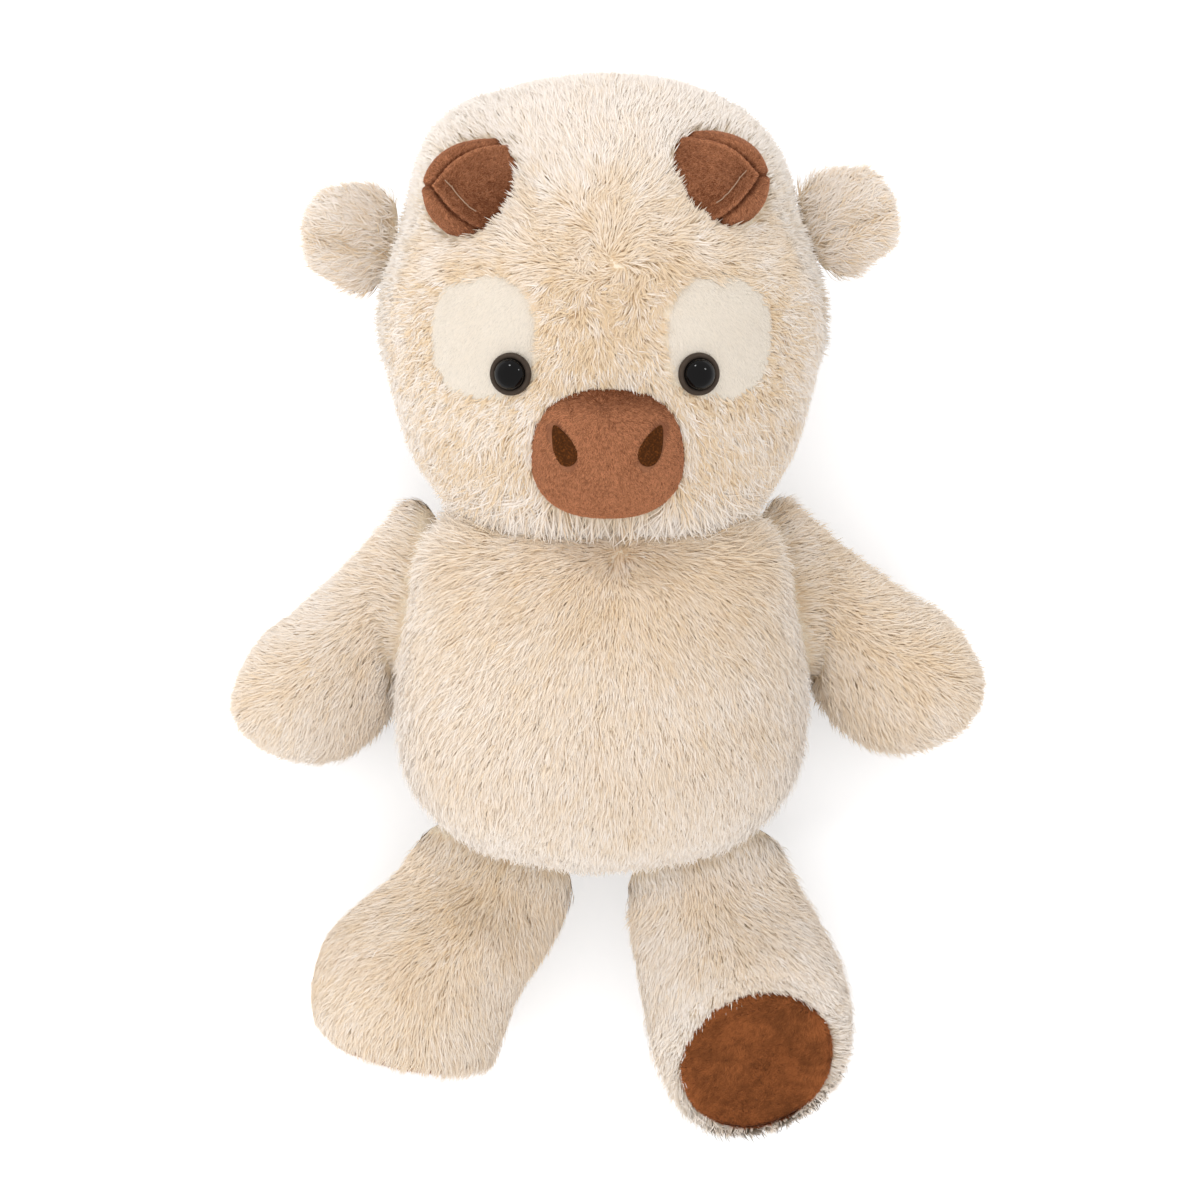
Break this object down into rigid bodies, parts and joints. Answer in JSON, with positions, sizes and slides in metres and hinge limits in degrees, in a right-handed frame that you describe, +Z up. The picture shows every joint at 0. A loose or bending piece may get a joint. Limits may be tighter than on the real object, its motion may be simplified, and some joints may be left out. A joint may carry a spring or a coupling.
{
  "type": "plush cow",
  "caption": "Long-pile cream plush cow lying on its back, with brown velour horns, snout and soles, glossy safety eyes, and swinging stuffed limbs.",
  "frame": {"origin": "on the floor below the middle of the toy as it lies on its back", "axes": "+Y towards the head, +X towards the cow's own left, +Z up, the way its face looks"},
  "size_m": [0.2482, 0.3509, 0.1246],
  "materials": {
    "cream_plush": "long soft pile, cream tips over tan roots",
    "short_plush": "short smooth pile",
    "brown_velour": "brown short-nap velour",
    "sole_velour": "darker mottled velour",
    "nostril_thread": "satin-stitched thread",
    "eye_plastic": "polished black dome with a brown rim",
    "washer_plastic": "plain moulded",
    "stuffing": "white polyester fibre"
  },
  "bodies": {
    "trunk": {"body_cover": "cream_plush", "body_stuffing": "stuffing"},
    "head": {"head_cover": "cream_plush", "head_stuffing": "stuffing", "snout_cover": "brown_velour", "snout_stuffing": "stuffing", "left_eye_panel": "short_plush", "left_eye": "eye_plastic", "left_eye_washer": "washer_plastic", "left_nostril": "nostril_thread", "left_horn_cover": "brown_velour", "left_horn_stuffing": "stuffing", "right_eye_panel": "short_plush", "right_eye": "eye_plastic", "right_eye_washer": "washer_plastic", "right_nostril": "nostril_thread", "right_horn_cover": "brown_velour", "right_horn_stuffing": "stuffing"},
    "left_ear": {"left_ear_front": "cream_plush", "left_ear_back": "cream_plush"},
    "left_arm": {"left_arm_cover": "cream_plush", "left_arm_stuffing": "stuffing"},
    "left_leg": {"left_leg_cover": "cream_plush", "left_leg_stuffing": "stuffing", "left_sole_pad": "sole_velour"},
    "right_ear": {"right_ear_front": "cream_plush", "right_ear_back": "cream_plush"},
    "right_arm": {"right_arm_cover": "cream_plush", "right_arm_stuffing": "stuffing"},
    "right_leg": {"right_leg_cover": "cream_plush", "right_leg_stuffing": "stuffing", "right_sole_pad": "sole_velour"}
  },
  "joints": [
    {"name": "head_turn", "type": "hinge", "parent": "trunk", "child": "head", "pos_m": [0, 0.0182, 0.0575], "axis": [0, 1, 0], "range_deg": [-20, 20], "stiffness_Nm_per_rad": 0.12},
    {"name": "left_arm_swing", "type": "hinge", "parent": "trunk", "child": "left_arm", "pos_m": [0.0637, 0.002, 0.036], "axis": [0.2419, -0.9703, 0], "range_deg": [-20, 40], "stiffness_Nm_per_rad": 0.04},
    {"name": "left_leg_swing", "type": "hinge", "parent": "trunk", "child": "left_leg", "pos_m": [0.0305, -0.08691, 0.036], "axis": [-0.9588, -0.284, 0], "range_deg": [-15, 35], "stiffness_Nm_per_rad": 0.06},
    {"name": "left_ear_flop", "type": "hinge", "parent": "head", "child": "left_ear", "pos_m": [0.06898, 0.1236, 0.054], "axis": [0.342, -0.9397, 0], "range_deg": [-30, 30], "stiffness_Nm_per_rad": 0.02},
    {"name": "right_arm_swing", "type": "hinge", "parent": "trunk", "child": "right_arm", "pos_m": [-0.0677, 0.002, 0.036], "axis": [0.1219, 0.9925, 0], "range_deg": [-20, 40], "stiffness_Nm_per_rad": 0.04},
    {"name": "right_leg_swing", "type": "hinge", "parent": "trunk", "child": "right_leg", "pos_m": [-0.0345, -0.08691, 0.036], "axis": [-0.9455, 0.3256, 0], "range_deg": [-15, 35], "stiffness_Nm_per_rad": 0.06},
    {"name": "right_ear_flop", "type": "hinge", "parent": "head", "child": "right_ear", "pos_m": [-0.07364, 0.12025, 0.054], "axis": [0.1392, 0.9903, 0], "range_deg": [-30, 30], "stiffness_Nm_per_rad": 0.02}
  ]
}
